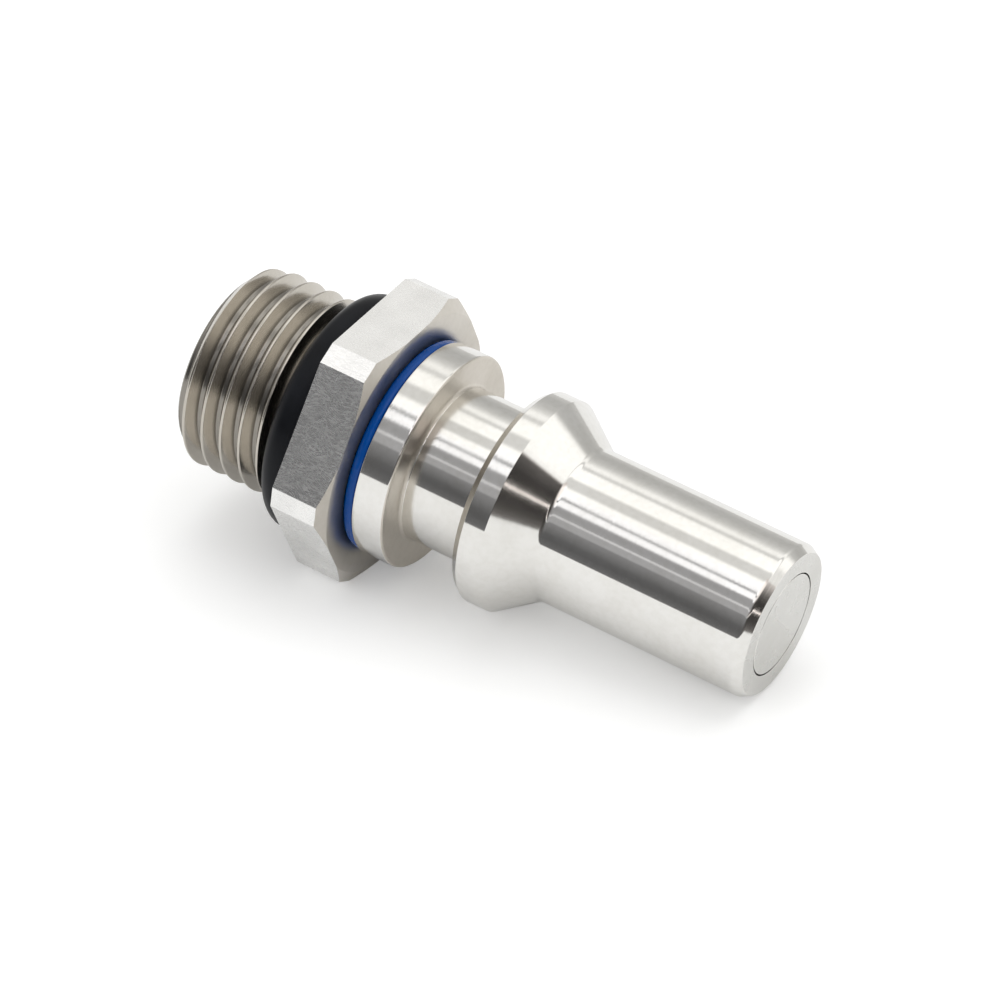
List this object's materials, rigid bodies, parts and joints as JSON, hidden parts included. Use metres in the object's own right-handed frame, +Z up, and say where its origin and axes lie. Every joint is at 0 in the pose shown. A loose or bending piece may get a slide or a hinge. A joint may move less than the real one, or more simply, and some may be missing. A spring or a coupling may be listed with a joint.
{
  "type": "quick disconnect plug",
  "caption": "Flat-faced quick disconnect fluid plug with a smooth nose, locking ridge, colour ring, hexagon and sealed threaded port end.",
  "frame": {"origin": "centre of the flat nose face, on the axis, where the closed valve's head lies flush", "axes": "+X out of the nose along the axis, +Z up with a flat of the hexagon on top and one below, +Y across two of the hexagon's corners"},
  "size_m": [0.0394, 0.0188, 0.017],
  "materials": {
    "steel": "turned and lightly polished stainless steel",
    "thread_steel": "machined stainless steel",
    "black_rubber": "satin",
    "blue_plastic": "gloss",
    "spring_steel": "drawn wire"
  },
  "bodies": {
    "plug": {"plug_body": "steel", "adapter": "thread_steel", "port_seal": "black_rubber", "colour_ring": "blue_plastic", "body_seal": "black_rubber", "valve_spring": "spring_steel", "spring_guide": "steel", "retaining_ring": "spring_steel"},
    "valve": {"valve_poppet": "steel", "valve_seal": "black_rubber"}
  },
  "joints": [
    {"name": "valve_slide", "type": "slide", "parent": "plug", "child": "valve", "axis": [-1, 0, 0], "range_m": [0, 0.005], "stiffness_N_per_m": 1500, "springref_m": -0.004, "deforming": ["valve_spring"]}
  ]
}
